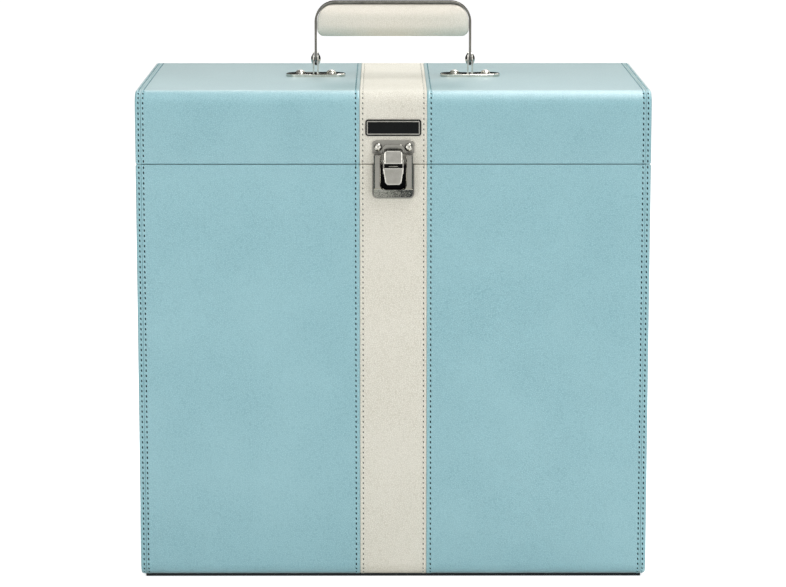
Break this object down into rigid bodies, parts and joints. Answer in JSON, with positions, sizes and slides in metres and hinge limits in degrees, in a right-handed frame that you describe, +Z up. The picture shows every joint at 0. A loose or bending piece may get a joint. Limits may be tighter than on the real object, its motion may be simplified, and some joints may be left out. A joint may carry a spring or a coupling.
{
  "type": "record carrying case",
  "caption": "Upright box case covered in pebbled leatherette, with a back-hinged lid, a front draw latch, a bare nameplate and a swinging padded top handle.",
  "frame": {"origin": "middle of the flat underside that the case stands on", "axes": "+Z up, the front with the latch towards -Y, +X to the right seen from the front"},
  "size_m": [0.36, 0.2321, 0.4039],
  "materials": {
    "blue_leatherette": "fine pebble grain, soft satin",
    "cream_leatherette": "fine pebble grain, soft satin",
    "grip_leatherette": "smooth, soft satin",
    "nickel": "bright nickel plate",
    "black_enamel": "gloss black enamel",
    "board": "plain fibreboard",
    "lining": "black flock",
    "base_board": "matt black"
  },
  "bodies": {
    "case": {"body_front_board": "board", "body_back_board": "board", "body_left_board": "board", "body_right_board": "board", "body_bottom_board": "board", "body_cover_left": "blue_leatherette", "body_cover_right": "blue_leatherette", "body_centre_band": "cream_leatherette", "body_side_cover_left": "blue_leatherette", "body_side_cover_right": "blue_leatherette", "body_lining": "lining", "base_panel": "base_board", "latch_base": "nickel", "latch_base_rivets": "nickel", "lever_pivot_pins": "nickel", "hinge_left_body_leaf": "nickel", "hinge_right_body_leaf": "nickel", "hinge_pins": "nickel", "hinge_body_rivets": "nickel"},
    "lid": {"lid_top_board": "board", "lid_front_board": "board", "lid_back_board": "board", "lid_left_board": "board", "lid_right_board": "board", "lid_cover_left": "blue_leatherette", "lid_cover_right": "blue_leatherette", "lid_centre_band": "cream_leatherette", "lid_side_cover_left": "blue_leatherette", "lid_side_cover_right": "blue_leatherette", "lid_lining": "lining", "nameplate_frame": "nickel", "nameplate_field": "black_enamel", "latch_keeper": "nickel", "latch_keeper_rivets": "nickel", "handle_bracket_left": "nickel", "handle_bracket_right": "nickel", "bracket_rivets": "nickel", "handle_pivot_pins": "nickel", "hinge_left_lid_leaf": "nickel", "hinge_right_lid_leaf": "nickel", "hinge_lid_rivets": "nickel"},
    "handle": {"handle_strap": "nickel", "handle_grip": "grip_leatherette"},
    "latch_lever": {"latch_lever": "nickel", "claw_pin": "nickel"},
    "latch_claw": {"latch_claw": "nickel"}
  },
  "joints": [
    {"name": "lid_hinge", "type": "hinge", "parent": "case", "child": "lid", "pos_m": [0, 0.1127, 0.298], "axis": [-1, 0, 0], "range_deg": [0, 180]},
    {"name": "handle_swing", "type": "hinge", "parent": "lid", "child": "handle", "pos_m": [0, 0, 0.3614], "axis": [1, 0, 0], "range_deg": [-90, 90]},
    {"name": "lever_pivot", "type": "hinge", "parent": "case", "child": "latch_lever", "pos_m": [0, -0.1156, 0.3011], "axis": [-1, 0, 0], "range_deg": [0, 100]},
    {"name": "claw_pivot", "type": "hinge", "parent": "latch_lever", "child": "latch_claw", "pos_m": [0, -0.1156, 0.29715], "axis": [-1, 0, 0], "range_deg": [-75, 0]}
  ],
  "couplings": [
    {"joint": "claw_pivot", "follows": "lever_pivot", "ratio": -0.75}
  ]
}
